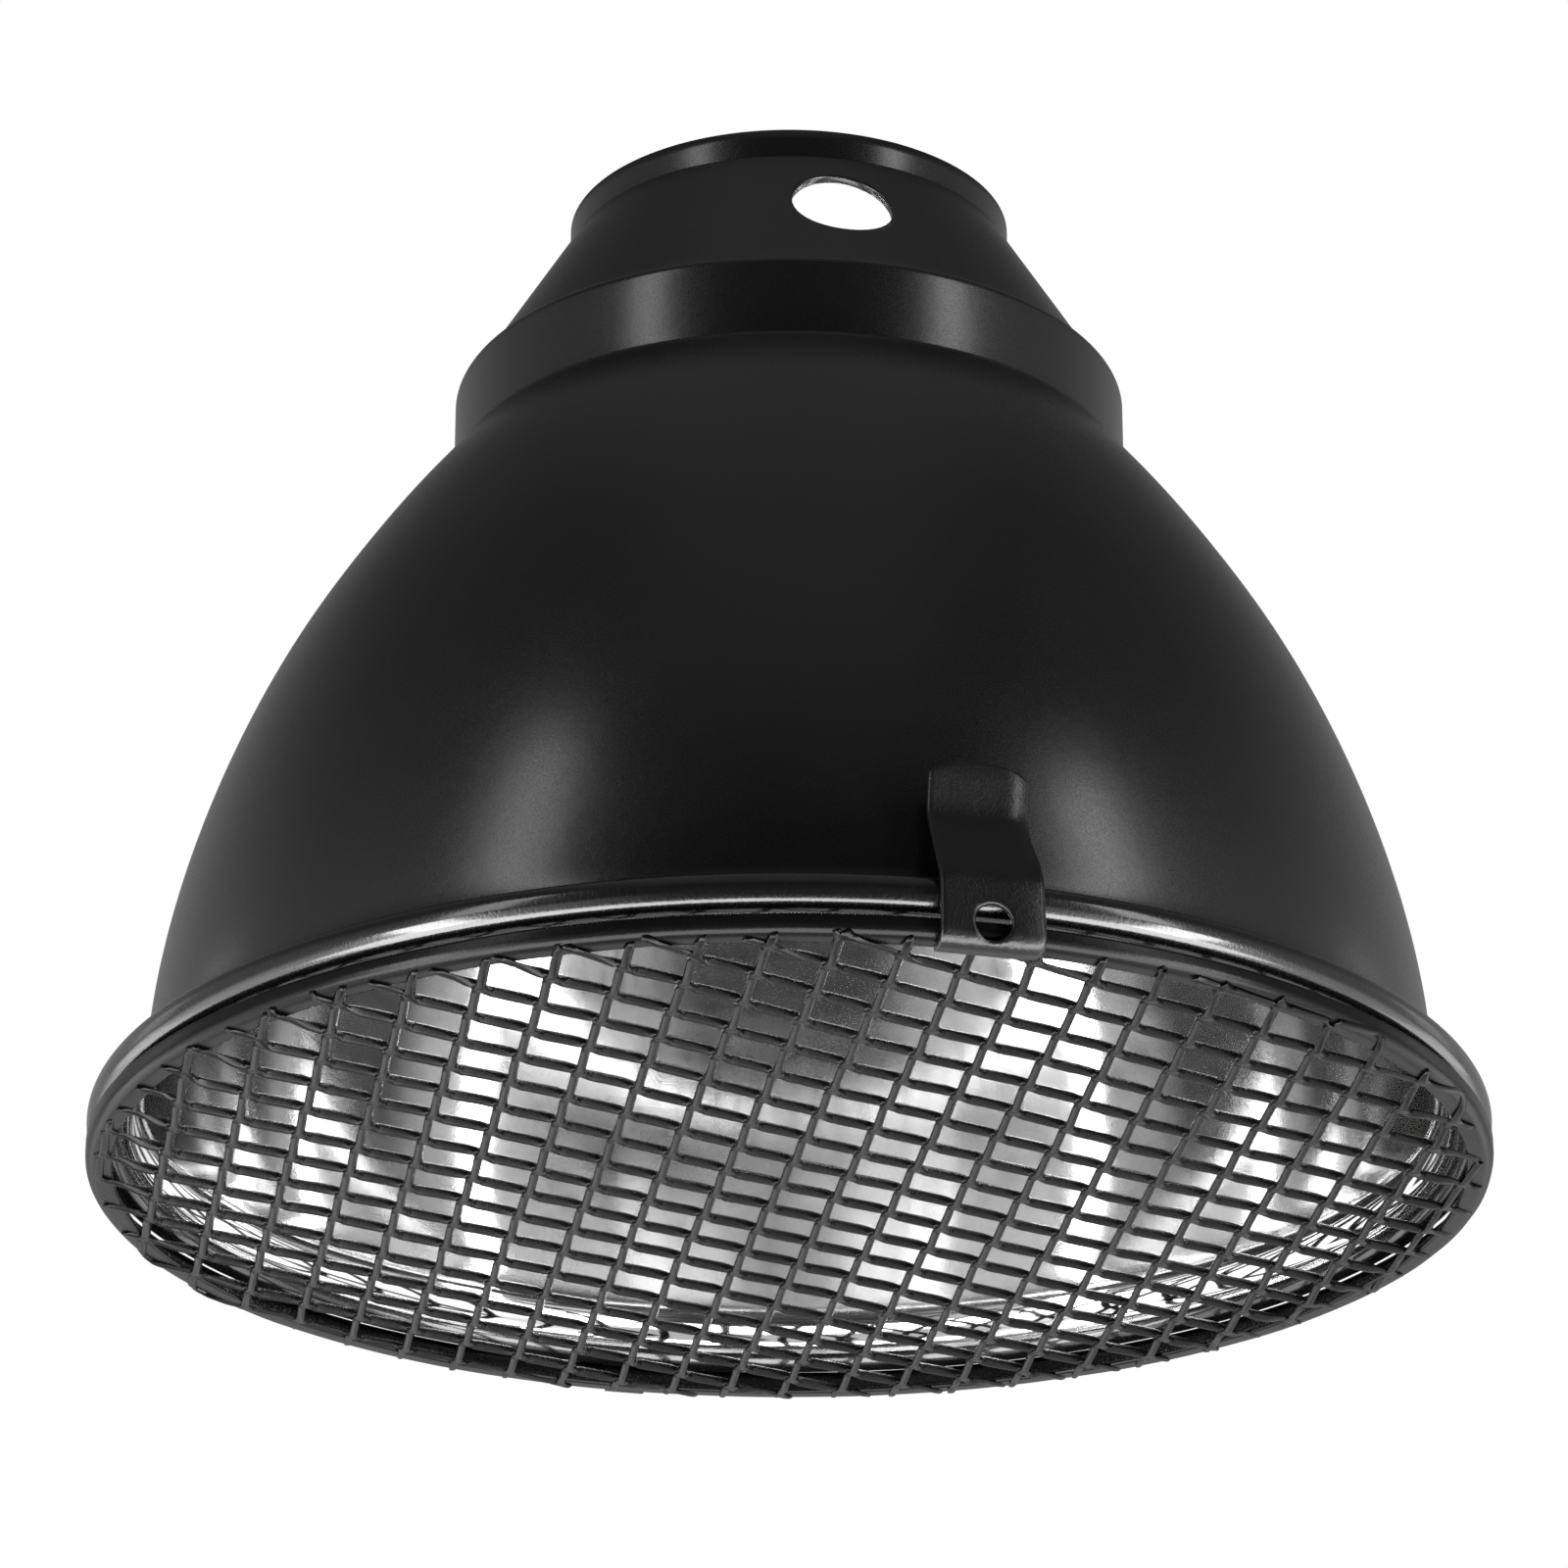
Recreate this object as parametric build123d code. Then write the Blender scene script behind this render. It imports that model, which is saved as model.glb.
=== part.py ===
from build123d import *
import math
import os

# Deep-dome heat lamp shade with a hinged expanded-metal guard.
# Millimetres. Z is the shade's own axis, pointing from the mouth to the neck.
# The origin is the centre of the mouth, in the plane of the guard's underside.
# Azimuth 0 is the front (-Y) and grows towards +X.

# Spun aluminium shade. All radii are to the middle of the sheet.
SHEET = 1.0
COLLAR_RADIUS = 24.6
COLLAR_TOP = 116.7
COLLAR_BOTTOM = 113.2
CONE_FOOT_RADIUS = 35.9
CONE_FOOT = 94.5
DRUM_RADIUS = 37.35
DRUM_TOP = 93.8
DRUM_BOTTOM = 84.7
DOME = [(42.1, 78.7), (49.9, 67.7), (54.7, 59.8), (62.1, 43.8), (66.9, 27.9), (69.0, 12.0)]
NECK_FILLETS = [0.9, 0.8, 0.7]
WALL_FILLET = 1.5

# Rolled bead round the mouth of the shade.
BEAD_RADIUS = 73.5
BEAD_HEIGHT = 5.5
BEAD_SIZE = 2.0
BEAD_TURN = 280

# Round vent holes in the cone of the neck.
VENT_COUNT = 3
VENT_RADIUS = 5.6
VENT_HEIGHT = 105.0
VENT_AZIMUTH = 10.6

# Guard: a folded edge ring with a lip that the mesh is welded under.
RING_SHEET = 0.8
RING_RADIUS = 75.5
RING_TOP = 2.7
RING_CORNER = 0.8
LIP_RADIUS = 72.6

# Expanded metal: a skewed lattice of openings in a flat disc.
MESH_THICKNESS = 0.6
MESH_RADIUS = 75.2
MESH_PITCH = 7.56
FLAT_STRAND = 1.5
STEEP_STRAND = 1.1
FLAT_ANGLE = 38.8
STEEP_ANGLE = 99.2
MESH_CENTRE = (1.4, 2.9)

# Latch clip: one spring strip, welded by its foot under the mesh.
CLIP_AZIMUTH = 14.1
CLIP_SHEET = 0.8
CLIP_WIDTH = 10.5
CLIP_GAP = 0.4
CLIP_FOOT_RADIUS = 72.8
CLIP_LEAN_START = 6.8
CLIP_WAIST = (71.7, 15.2)
CLIP_TOP = (72.8, 20.6)
CLIP_HOLE_RADIUS = 1.85
CLIP_HOLE_HEIGHT = 2.1
FOOT_BEND = 1.2
LEAN_BEND = 4.0
ARCH_RADIUS = 10.5

# Hinge on the far side of the mouth, opposite the clip.
HINGE_AZIMUTH = CLIP_AZIMUTH + 180
PIVOT_RADIUS = 77.3
PIVOT_HEIGHT = 3.4
PIN_RADIUS = 0.7
PIN_CLEARANCE = 0.05
HINGE_SHEET = 0.6
LEAF_KNUCKLE = 4.6
OUTER_KNUCKLE = 3.0
KNUCKLE_GAP = 0.2
PIN_HEAD_RADIUS = 1.1
PIN_HEAD = 0.5
LEAF_BOTTOM = 0.9
LEAF_TOP = 3.2
BRACKET_NOTCH = 6.0
PAD_TOP = 14.0

os.makedirs("parts", exist_ok=True)


def turned(part, azimuth):
    """Turn a piece built towards +X so that it faces the given azimuth."""
    return part.rotate(Axis.Z, azimuth - 90)


def sheet_face(path, thickness):
    """Give a profile line (radius, height) the thickness of its sheet and stand it upright."""
    return Plane.XZ * trace(path, line_width=thickness)


def barrel(outer, inner, low, high):
    """A tube round the hinge pin, between two distances along it."""
    tube = Circle(outer) - Circle(inner) if inner else Circle(outer)
    start = Plane((PIVOT_RADIUS, low, PIVOT_HEIGHT), x_dir=(1, 0, 0), z_dir=(0, 1, 0))
    return extrude(start * tube, high - low)


# Shade ---------------------------------------------------------------

def shade_profile():
    """The middle of the sheet, from the top of the collar to the end of the rolled bead."""
    first = DOME[0]
    lead = (first[0] - DRUM_RADIUS, first[1] - DRUM_BOTTOM)
    roll = BEAD_SIZE - SHEET / 2
    with BuildLine() as line:
        FilletPolyline(
            (COLLAR_RADIUS, COLLAR_TOP),
            (COLLAR_RADIUS, COLLAR_BOTTOM),
            (CONE_FOOT_RADIUS, CONE_FOOT),
            (DRUM_RADIUS, DRUM_TOP),
            (DRUM_RADIUS, DRUM_BOTTOM),
            first,
            radius=[*NECK_FILLETS, WALL_FILLET],
        )
        Spline(*DOME, tangents=[lead, (0, -1)])
        FilletPolyline(
            DOME[-1],
            (DOME[-1][0], BEAD_HEIGHT + roll),
            (BEAD_RADIUS, BEAD_HEIGHT + roll),
            radius=WALL_FILLET,
        )
        CenterArc((BEAD_RADIUS, BEAD_HEIGHT), roll, 90, -BEAD_TURN)
    return line.line


def vent_tool(azimuth):
    """A round punch that meets the cone of the neck squarely."""
    rise = COLLAR_BOTTOM - CONE_FOOT
    run = CONE_FOOT_RADIUS - COLLAR_RADIUS
    radius = COLLAR_RADIUS + run * (COLLAR_BOTTOM - VENT_HEIGHT) / rise
    across = Plane((radius, 0, VENT_HEIGHT), z_dir=(rise, 0, run))
    return turned(extrude(across * Circle(VENT_RADIUS), 4 * SHEET, both=True), azimuth)


shade = revolve(sheet_face(shade_profile(), SHEET), Axis.Z)
for index in range(VENT_COUNT):
    shade -= vent_tool(VENT_AZIMUTH + index * 360 / VENT_COUNT)

# Guard ring ----------------------------------------------------------

lip_height = MESH_THICKNESS + RING_SHEET / 2
wall_radius = RING_RADIUS - RING_SHEET / 2
with BuildLine() as ring_line:
    FilletPolyline(
        (LIP_RADIUS, lip_height),
        (wall_radius, lip_height),
        (wall_radius, RING_TOP),
        radius=RING_CORNER,
    )
guard_ring = revolve(sheet_face(ring_line.line, RING_SHEET), Axis.Z)

# Guard mesh ----------------------------------------------------------

flat = Vector(1, 0).rotate(Axis.Z, FLAT_ANGLE)
steep = Vector(1, 0).rotate(Axis.Z, STEEP_ANGLE)
skew = math.sin(math.radians(STEEP_ANGLE - FLAT_ANGLE))


def opening(centre):
    """One four-sided opening, its sides parallel to the two runs of strands."""
    along = flat * ((MESH_PITCH - STEEP_STRAND / skew) / 2)
    up = steep * ((MESH_PITCH - FLAT_STRAND / skew) / 2)
    corners = [centre - along - up, centre + along - up, centre + along + up, centre - along + up]
    return make_face(Polyline(*corners, close=True))


reach = math.ceil(MESH_RADIUS / (MESH_PITCH * skew)) + 1
openings = []
for column in range(-reach, reach + 1):
    for row in range(-reach, reach + 1):
        centre = Vector(*MESH_CENTRE) + (flat * column + steep * row) * MESH_PITCH
        if centre.length < MESH_RADIUS + MESH_PITCH:
            openings.append(opening(centre))
lattice = extrude(Circle(MESH_RADIUS) - openings, MESH_THICKNESS)
guard_mesh = max(lattice.solids(), key=lambda solid: solid.volume)

# Latch clip ----------------------------------------------------------

strip_radius = RING_RADIUS + CLIP_GAP + CLIP_SHEET / 2
with BuildLine() as clip_line:
    FilletPolyline(
        (CLIP_FOOT_RADIUS, -CLIP_SHEET / 2),
        (strip_radius, -CLIP_SHEET / 2),
        (strip_radius, CLIP_LEAN_START),
        CLIP_WAIST,
        CLIP_TOP,
        radius=[FOOT_BEND, LEAN_BEND, LEAN_BEND],
    )
clip = extrude(sheet_face(clip_line.line, CLIP_SHEET), CLIP_WIDTH / 2, both=True)
hole_plane = Plane((strip_radius, 0, CLIP_HOLE_HEIGHT), z_dir=(1, 0, 0))
clip -= extrude(hole_plane * Circle(CLIP_HOLE_RADIUS), CLIP_SHEET, both=True)
arch_centre = CLIP_TOP[1] - ARCH_RADIUS
arch = Plane((CLIP_TOP[0], 0, arch_centre), z_dir=(1, 0, 0)) * Circle(ARCH_RADIUS)
above = Box(CLIP_WIDTH, CLIP_WIDTH, ARCH_RADIUS, align=(Align.CENTER, Align.CENTER, Align.MIN))
above = Pos(CLIP_TOP[0], 0, arch_centre + ARCH_RADIUS / 2) * above
clip -= above - extrude(arch, CLIP_WIDTH, both=True)

# Hinge ---------------------------------------------------------------

knuckle_outer = PIN_RADIUS + PIN_CLEARANCE + HINGE_SHEET
knuckle_inner = PIN_RADIUS + PIN_CLEARANCE
knuckle_middle = (knuckle_outer + knuckle_inner) / 2
outer_start = LEAF_KNUCKLE / 2 + KNUCKLE_GAP
outer_end = outer_start + OUTER_KNUCKLE


def arc_plate(face, width, radius):
    """Sweep a profile round the shade's axis for a given width at a given radius."""
    sweep_angle = math.degrees(width / radius)
    return revolve(face, Axis.Z, revolution_arc=sweep_angle).rotate(Axis.Z, -sweep_angle / 2)


# The bracket wraps the bead from the pin over the top and runs up the wall.
wrap = BEAD_SIZE + HINGE_SHEET / 2
pad_radius = DOME[-1][0] + SHEET / 2 + HINGE_SHEET / 2
with BuildLine() as bracket_line:
    Line((PIVOT_RADIUS - knuckle_middle, PIVOT_HEIGHT), (BEAD_RADIUS + wrap, BEAD_HEIGHT))
    CenterArc((BEAD_RADIUS, BEAD_HEIGHT), wrap, 0, 90)
    FilletPolyline(
        (BEAD_RADIUS, BEAD_HEIGHT + wrap),
        (pad_radius, BEAD_HEIGHT + wrap),
        (pad_radius, PAD_TOP),
        radius=WALL_FILLET,
    )
hinge_bracket = arc_plate(sheet_face(bracket_line.line, HINGE_SHEET), 2 * outer_end, RING_RADIUS)
for low in (-outer_end, outer_start):
    hinge_bracket += barrel(knuckle_outer, knuckle_inner, low, low + OUTER_KNUCKLE)
# Clear the middle of the bracket so that the leaf's knuckle turns freely.
notch_align = (Align.MIN, Align.CENTER, Align.CENTER)
notch = Box(BRACKET_NOTCH, 2 * outer_start, BRACKET_NOTCH, align=notch_align)
hinge_bracket -= Pos(RING_RADIUS, 0, PIVOT_HEIGHT) * notch
hinge_bracket -= barrel(knuckle_inner, 0, -outer_end, outer_end)

leaf_height = LEAF_TOP - LEAF_BOTTOM
leaf_line = Pos(RING_RADIUS + HINGE_SHEET / 2, (LEAF_BOTTOM + LEAF_TOP) / 2)
leaf_face = Plane.XZ * (leaf_line * Rectangle(HINGE_SHEET, leaf_height))
hinge_leaf = arc_plate(leaf_face, LEAF_KNUCKLE, RING_RADIUS)
hinge_leaf += barrel(knuckle_outer, knuckle_inner, -LEAF_KNUCKLE / 2, LEAF_KNUCKLE / 2)
hinge_leaf -= barrel(knuckle_inner, 0, -outer_end, outer_end)

hinge_pin = barrel(PIN_RADIUS, 0, -outer_end, outer_end)
hinge_pin += barrel(PIN_HEAD_RADIUS, 0, -outer_end - PIN_HEAD, -outer_end)
hinge_pin += barrel(PIN_HEAD_RADIUS, 0, outer_end, outer_end + PIN_HEAD)

# ---------------------------------------------------------------------

pieces = {
    "shade_shell": shade,
    "guard_ring": guard_ring,
    "guard_mesh": guard_mesh,
    "latch_clip": turned(clip, CLIP_AZIMUTH),
    "hinge_bracket": turned(hinge_bracket, HINGE_AZIMUTH),
    "hinge_leaf": turned(hinge_leaf, HINGE_AZIMUTH),
    "hinge_pin": turned(hinge_pin, HINGE_AZIMUTH),
}
for name, piece in pieces.items():
    export_step(piece, f"parts/{name}.step")
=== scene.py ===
import math

import bmesh
import bpy
import numpy as np
from mathutils import Matrix, Vector, noise


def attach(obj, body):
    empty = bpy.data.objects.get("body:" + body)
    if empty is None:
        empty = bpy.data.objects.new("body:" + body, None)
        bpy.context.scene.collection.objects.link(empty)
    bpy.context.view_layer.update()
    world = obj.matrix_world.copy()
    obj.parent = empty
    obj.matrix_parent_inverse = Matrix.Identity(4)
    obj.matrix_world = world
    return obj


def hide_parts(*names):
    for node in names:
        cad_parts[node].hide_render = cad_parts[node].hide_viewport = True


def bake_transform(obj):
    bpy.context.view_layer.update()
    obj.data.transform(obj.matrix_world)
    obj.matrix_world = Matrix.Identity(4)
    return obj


# A deep-dome heat lamp shade with a hinged expanded-metal guard, as shown pieces round the CAD frame.
# Lengths below are millimetres unless a name says otherwise; MM turns them into scene metres.

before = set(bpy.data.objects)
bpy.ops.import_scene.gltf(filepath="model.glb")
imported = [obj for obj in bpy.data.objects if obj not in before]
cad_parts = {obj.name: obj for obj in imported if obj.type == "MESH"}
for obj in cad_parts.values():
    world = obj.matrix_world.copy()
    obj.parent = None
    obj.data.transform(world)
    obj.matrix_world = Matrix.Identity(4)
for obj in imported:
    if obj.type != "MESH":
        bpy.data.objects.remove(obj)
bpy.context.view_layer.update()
MM = 0.001
noise.seed_set(1)  # without a seed, noise_vector differs from run to run

# The shade's sheet, as the middle line of its wall: (radius, height) from the collar down.
SHEET = 1.0
WALL_CORNERS = [(24.6, 116.7), (24.6, 113.2), (35.9, 94.5), (37.35, 93.8), (37.35, 84.7), (42.1, 78.7)]
WALL_FILLETS = [0.9, 0.8, 0.7, 1.5]
DOME = [(42.1, 78.7), (49.9, 67.7), (54.7, 59.8), (62.1, 43.8), (66.9, 27.9), (69.0, 12.0),
        (69.2, 9.2), (70.1, 7.3), (71.5, 6.5)]
BEAD_RADIUS = 73.5
BEAD_HEIGHT = 5.5
BEAD_SIZE = 2.0
BEAD_TURN = 300  # degrees that the sheet is rolled through
BARE_TURN = 20  # degrees of it that are still bare metal
CURL_STEPS = 44
VENT_COUNT = 3
VENT_RADIUS = 5.6
VENT_HEIGHT = 105.0
VENT_AZIMUTH = 10.6
VENT_SOFTENING = 0.15  # how much wider the hole is at the sheet's faces

# Guard.
RING_RADIUS = 75.5
RING_SHEET = 0.8
RING_TOP = 2.7
RING_FOLD = 0.8
RING_WAVE = 0.06
RING_EXTRA = 1.15
LIP_RADIUS = 72.6
MESH_THICKNESS = 0.6
MESH_PITCH = 7.56
FLAT_ANGLE = 38.8
STEEP_ANGLE = 99.2  # both in degrees from +X
MESH_CENTRE = (1.4, 2.9)

# Latch clip.
CLIP_AZIMUTH = 14.1
CLIP_WIDTH = 10.5
HINGE_AZIMUTH = CLIP_AZIMUTH + 180
HINGE_WIDTH = 6.0

TURN_STEPS = 288


# Geometry helpers ------------------------------------------------------

def filleted(corners, radii, step_angle=0.12):
    """A 2-D line through corners, each inner corner rounded to its radius."""
    line = [Vector(corners[0])]
    for before, corner, after, radius in zip(corners, corners[1:], corners[2:], radii):
        corner = Vector(corner)
        to_before = (Vector(before) - corner).normalized()
        to_after = (Vector(after) - corner).normalized()
        half = math.acos(max(-1, min(1, to_before.dot(to_after)))) / 2
        bisector = (to_before + to_after).normalized()
        centre = corner + bisector * (radius / math.sin(half))
        first = corner + to_before * (radius / math.tan(half)) - centre
        last = corner + to_after * (radius / math.tan(half)) - centre
        turn = first.angle_signed(last)
        count = max(3, math.ceil(abs(turn) / step_angle))
        for step in range(count + 1):
            angle = -turn * step / count
            spun = Vector((first.x * math.cos(angle) - first.y * math.sin(angle),
                           first.x * math.sin(angle) + first.y * math.cos(angle)))
            line.append(centre + spun)
    line.append(Vector(corners[-1]))
    return line


def spline(points, first_slope, last_slope, step=1.2):
    """A smooth cubic through points with the given end directions, sampled about every step."""
    points = np.array(points, float)
    chords = np.linalg.norm(np.diff(points, axis=0), axis=1)
    knots = np.concatenate([[0], np.cumsum(chords)])
    count = len(points)
    system = np.zeros((count, count))
    right = np.zeros((count, 2))
    system[0, 0] = system[-1, -1] = 1
    right[0] = np.array(first_slope) / np.linalg.norm(first_slope)
    right[-1] = np.array(last_slope) / np.linalg.norm(last_slope)
    for i in range(1, count - 1):
        a, b = chords[i - 1], chords[i]
        system[i, i - 1:i + 2] = [b, 2 * (a + b), a]
        right[i] = 3 * (b * (points[i] - points[i - 1]) / a + a * (points[i + 1] - points[i]) / b)
    slopes = np.linalg.solve(system, right)
    line = []
    for i in range(count - 1):
        length = knots[i + 1] - knots[i]
        pieces = max(1, round(length / step))
        for k in range(pieces):
            t = k / pieces
            line.append(Vector(
                (2 * t**3 - 3 * t**2 + 1) * points[i] + (t**3 - 2 * t**2 + t) * length * slopes[i]
                + (3 * t**2 - 2 * t**3) * points[i + 1] + (t**3 - t**2) * length * slopes[i + 1]))
    line.append(Vector(points[-1]))
    return line


def arc(centre, radius, start, sweep, count):
    """Points on a circle, angles in degrees."""
    angles = [math.radians(start + sweep * k / count) for k in range(count + 1)]
    return [Vector((centre[0] + radius * math.cos(a), centre[1] + radius * math.sin(a))) for a in angles]


def joined(*lines):
    """Lines end to end, without the repeated points."""
    result = []
    for line in lines:
        for point in line:
            if not result or (point - result[-1]).length > 0.01:
                result.append(point)
    return result


def split_long(line, longest):
    """The same line with its long straight runs divided."""
    result = [line[0]]
    for start, end in zip(line, line[1:]):
        pieces = max(1, math.ceil((end - start).length / longest))
        result += [start.lerp(end, k / pieces) for k in range(1, pieces + 1)]
    return result


def normals_of(line):
    """The unit vector to the left of each point's direction of travel, seen with the axis on the left."""
    result = []
    for i in range(len(line)):
        direction = (line[min(i + 1, len(line) - 1)] - line[max(i - 1, 0)]).normalized()
        result.append(Vector((-direction.y, direction.x)))
    return result


def clamp(value, low=0, high=1):
    return min(high, max(low, value))


def eased(share):
    """A share from 0 to 1 with soft ends."""
    return share * share * (3 - 2 * share)


def new_object(name, mesh):
    item = bpy.data.objects.new(name, mesh)
    bpy.context.scene.collection.objects.link(item)
    return item


def mesh_piece(name, vertices, faces, materials, indices=None):
    """A mesh object from millimetre coordinates."""
    mesh = bpy.data.meshes.new(name)
    mesh.from_pydata([Vector(v) * MM for v in vertices], [], faces)
    for material in materials:
        mesh.materials.append(material)
    if indices is not None:
        mesh.polygons.foreach_set("material_index", indices)
    mesh.polygons.foreach_set("use_smooth", [True] * len(mesh.polygons))
    mesh.validate()
    mesh.update()
    return new_object(name, mesh)


def around(radius, angle, height):
    """A point at an angle (radians) from +X round the shade's axis."""
    return Vector((radius * math.cos(angle), radius * math.sin(angle), height))


def azimuth_angle(azimuth):
    """The angle from +X of an azimuth in degrees that is 0 at the front (-Y) and grows towards +X."""
    return math.radians(azimuth - 90)


# Materials -------------------------------------------------------------

def add_node(tree, kind, inputs=None, **settings):
    """A node in a tree, with its settings, and its inputs given as values or as links."""
    node = tree.nodes.new(kind)
    for key, value in settings.items():
        setattr(node, key, value)
    for key, value in (inputs or {}).items():
        if isinstance(value, bpy.types.NodeSocket):
            tree.links.new(value, node.inputs[key])
        else:
            node.inputs[key].default_value = value
    return node


class Nodes:
    """A short way to write a node material."""

    def __init__(self, name):
        self.material = bpy.data.materials.new(name)
        self.material.use_nodes = True
        self.tree = self.material.node_tree
        self.shader = self.tree.nodes["Principled BSDF"]

    def add(self, kind, inputs=None, **settings):
        return add_node(self.tree, kind, inputs, **settings)

    def set(self, **values):
        for key, value in values.items():
            socket = self.shader.inputs[key.replace("_", " ")]
            if isinstance(value, bpy.types.NodeSocket):
                self.tree.links.new(value, socket)
            else:
                socket.default_value = value

    def place(self):
        return self.add("ShaderNodeTexCoord").outputs["Object"]

    def noise(self, vector, scale, detail=2.0, roughness=0.5):
        inputs = {"Vector": vector, "Scale": scale, "Detail": detail, "Roughness": roughness}
        return self.add("ShaderNodeTexNoise", inputs).outputs["Fac"]

    def range(self, value, low, high, to_low, to_high):
        inputs = {"Value": value, "From Min": low, "From Max": high, "To Min": to_low, "To Max": to_high}
        return self.add("ShaderNodeMapRange", inputs).outputs["Result"]

    def math(self, operation, first, second=0.0):
        return self.add("ShaderNodeMath", {0: first, 1: second}, operation=operation).outputs[0]

    def colour(self, factor, stops):
        ramp = self.add("ShaderNodeValToRGB", {"Fac": factor})
        elements = ramp.color_ramp.elements
        while len(elements) < len(stops):
            elements.new(0.5)
        for element, (position, shade) in zip(elements, stops):
            element.position = position
            element.color = (*shade, 1)
        return ramp.outputs["Color"]

    def bump(self, height, strength, distance, normal=None):
        inputs = {"Height": height, "Strength": strength, "Distance": distance}
        if normal is not None:
            inputs["Normal"] = normal
        return self.add("ShaderNodeBump", inputs).outputs["Normal"]


PEEL_SIZE = 2.2
CLOUD_SIZE = 26
CLEAR_ROUGHNESS = 0.12
CLEAR_IOR = 1.8


def powder_coat(name, shade, grain, grain_depth, gloss=0.9, coat=0.0, rough_from=0.24):
    """Satin black powder coat: a fine grain that sparkles in highlights, over a faint orange peel."""
    nodes = Nodes(name)
    place = nodes.place()
    fine = nodes.noise(place, 1 / (grain * MM), 1.0)
    peel = nodes.noise(place, 1 / (PEEL_SIZE * MM), 2.0)
    cloud = nodes.noise(place, 1 / (CLOUD_SIZE * MM), 3.0)
    dark = tuple(0.8 * c for c in shade)
    light = tuple(1.25 * c for c in shade)
    rough = nodes.range(cloud, 0.3, 0.7, rough_from, rough_from + 0.04)
    rough = nodes.math("ADD", rough, nodes.range(fine, 0.3, 0.7, -0.03, 0.03))
    soft = nodes.bump(peel, 0.25, 0.05 * MM)
    nodes.set(
        Base_Color=nodes.colour(cloud, [(0.3, dark), (0.7, light)]),
        Roughness=rough,
        Normal=nodes.bump(fine, 0.5, grain_depth * MM, soft),
        Specular_IOR_Level=gloss,
        Coat_Weight=coat,
        Coat_Roughness=CLEAR_ROUGHNESS,
        Coat_IOR=CLEAR_IOR,
    )
    return nodes.material


LINE_SIZE = 0.35
LINE_STRETCH = 0.0012
BAND_SIZE = 5
SMEAR_SIZE = 14


def spun_aluminium(name):
    """Bare bright aluminium with the fine turning lines that spinning leaves round the axis."""
    nodes = Nodes(name)
    place = nodes.place()
    x, y, z = nodes.add("ShaderNodeSeparateXYZ", {"Vector": place}).outputs
    squares = nodes.math("ADD", nodes.math("MULTIPLY", x, x), nodes.math("MULTIPLY", y, y))
    radius = nodes.math("POWER", squares, 0.5)
    angle = nodes.math("ARCTAN2", y, x)
    along = nodes.math("SUBTRACT", z, radius)
    drawn_out = nodes.math("MULTIPLY", angle, LINE_STRETCH)
    lines = nodes.add("ShaderNodeCombineXYZ", {"X": drawn_out, "Y": along, "Z": 0.0}).outputs[0]
    fine = nodes.noise(lines, 1 / (LINE_SIZE * MM), 3.0, 0.65)
    bands = nodes.noise(lines, 1 / (BAND_SIZE * MM), 2.0)
    smear = nodes.noise(place, 1 / (SMEAR_SIZE * MM), 4.0, 0.6)
    rough = nodes.range(smear, 0.3, 0.7, 0.07, 0.12)
    rough = nodes.math("ADD", rough, nodes.range(bands, 0.3, 0.7, -0.015, 0.02))
    nodes.set(
        Base_Color=nodes.colour(smear, [(0.25, (0.90, 0.90, 0.905)), (0.75, (0.95, 0.95, 0.95))]),
        Metallic=1.0,
        Roughness=rough,
        Anisotropic=0.6,
        Anisotropic_Rotation=0.25,
        Normal=nodes.bump(fine, 0.15, 0.006 * MM),
        Tangent=nodes.add("ShaderNodeTangent", direction_type="RADIAL", axis="Z").outputs["Tangent"],
    )
    return nodes.material


SHADE_BLACK = (0.004, 0.004, 0.0043)
GUARD_BLACK = (0.003, 0.003, 0.0032)
CLIP_BLACK = (0.0045, 0.0045, 0.0048)
dome_paint = powder_coat("shade_black_powder_coat", SHADE_BLACK, 0.22, 0.005)
bead_paint = powder_coat("bead_black_powder_coat", SHADE_BLACK, 0.32, 0.05, gloss=0.5, coat=0.55)
guard_paint = powder_coat("guard_black_powder_coat", GUARD_BLACK, 0.22, 0.012, gloss=0.22)
ring_paint = powder_coat("ring_black_powder_coat", GUARD_BLACK, 0.22, 0.012, gloss=0.2)
clip_paint = powder_coat("clip_black_powder_coat", CLIP_BLACK, 0.28, 0.06, gloss=0.55, rough_from=0.3)
bare_metal = spun_aluminium("spun_aluminium")


# Shade -----------------------------------------------------------------

NECK_STEP = 1.5
DOME_STEP = 0.9
END_OFFSET = 0.25
PAINTED, BARE, BEAD = range(3)


def shade_line():
    """The middle line of the shell's sheet, from the collar down and round the rolled bead."""
    roll = BEAD_SIZE - SHEET / 2
    lead = Vector(WALL_CORNERS[-1]) - Vector(WALL_CORNERS[-2])
    neck = split_long(filleted(WALL_CORNERS, WALL_FILLETS), NECK_STEP)
    curl = arc((BEAD_RADIUS, BEAD_HEIGHT), roll, 180, BEAD_TURN, CURL_STEPS)
    dome = spline(DOME + [tuple(curl[0])], lead, (0, -1), DOME_STEP)
    return joined(neck, dome, curl)


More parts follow.
